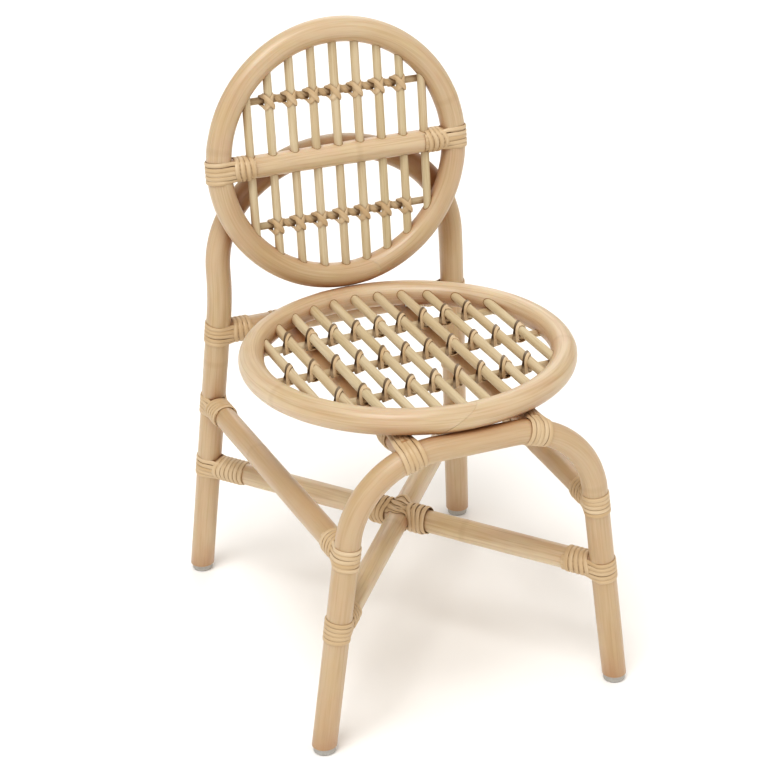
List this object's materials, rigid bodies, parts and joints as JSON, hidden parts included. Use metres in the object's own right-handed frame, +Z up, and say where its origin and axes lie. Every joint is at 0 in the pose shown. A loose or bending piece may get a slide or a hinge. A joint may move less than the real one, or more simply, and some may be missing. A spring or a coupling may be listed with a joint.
{
  "type": "child rattan chair",
  "caption": "Child's chair of bent rattan poles with a round slatted seat, a round slatted back on an arched rear frame, crossed stretchers and lashed joints.",
  "frame": {"origin": "on the floor, in the middle of the chair's footprint", "axes": "+Z up, -Y towards the front of the seat, +X towards the chair's right in the picture"},
  "size_m": [0.3172, 0.3985, 0.5834],
  "materials": {
    "rattan_pole": "satin",
    "rattan_core": "satin",
    "rattan_peel": "satin",
    "plastic_glide": "moulded",
    "screw_steel": "zinc plated",
    "dowel_wood": "raw"
  },
  "bodies": {
    "root": {"rear_arch": "rattan_pole", "front_arch": "rattan_pole", "back_ring": "rattan_pole", "seat_ring": "rattan_pole", "back_crossbar": "rattan_pole", "rear_seat_rail": "rattan_pole", "left_seat_rail": "rattan_pole", "right_seat_rail": "rattan_pole", "left_side_stretcher": "rattan_pole", "right_side_stretcher": "rattan_pole", "cross_stretcher": "rattan_pole", "rear_cross_half": "rattan_pole", "front_cross_half": "rattan_pole", "seat_slat_1": "rattan_core", "seat_slat_2": "rattan_core", "seat_slat_3": "rattan_core", "seat_slat_4": "rattan_core", "seat_slat_5": "rattan_core", "seat_slat_6": "rattan_core", "seat_slat_7": "rattan_core", "seat_slat_8": "rattan_core", "seat_slat_9": "rattan_core", "seat_slat_10": "rattan_core", "seat_slat_11": "rattan_core", "front_seat_rod": "rattan_core", "middle_seat_rod": "rattan_core", "rear_seat_rod": "rattan_core", "upper_back_slat_1": "rattan_core", "upper_back_slat_2": "rattan_core", "upper_back_slat_3": "rattan_core", "upper_back_slat_4": "rattan_core", "upper_back_slat_5": "rattan_core", "upper_back_slat_6": "rattan_core", "upper_back_slat_7": "rattan_core", "upper_back_slat_8": "rattan_core", "upper_back_slat_9": "rattan_core", "lower_back_slat_1": "rattan_core", "lower_back_slat_2": "rattan_core", "lower_back_slat_3": "rattan_core", "lower_back_slat_4": "rattan_core", "lower_back_slat_5": "rattan_core", "lower_back_slat_6": "rattan_core", "lower_back_slat_7": "rattan_core", "lower_back_slat_8": "rattan_core", "lower_back_slat_9": "rattan_core", "upper_back_rod": "rattan_core", "lower_back_rod": "rattan_core", "front_left_foot_glide": "plastic_glide", "front_right_foot_glide": "plastic_glide", "rear_left_foot_glide": "plastic_glide", "rear_right_foot_glide": "plastic_glide", "crossbar_lashings": "rattan_peel", "rear_rail_lashings": "rattan_peel", "seat_rail_lashings": "rattan_peel", "side_stretcher_lashings": "rattan_peel", "cross_stretcher_lashings": "rattan_peel", "seat_slat_ties": "rattan_peel", "back_slat_ties": "rattan_peel", "joint_screws": "screw_steel", "cross_dowel": "dowel_wood"}
  },
  "joints": []
}
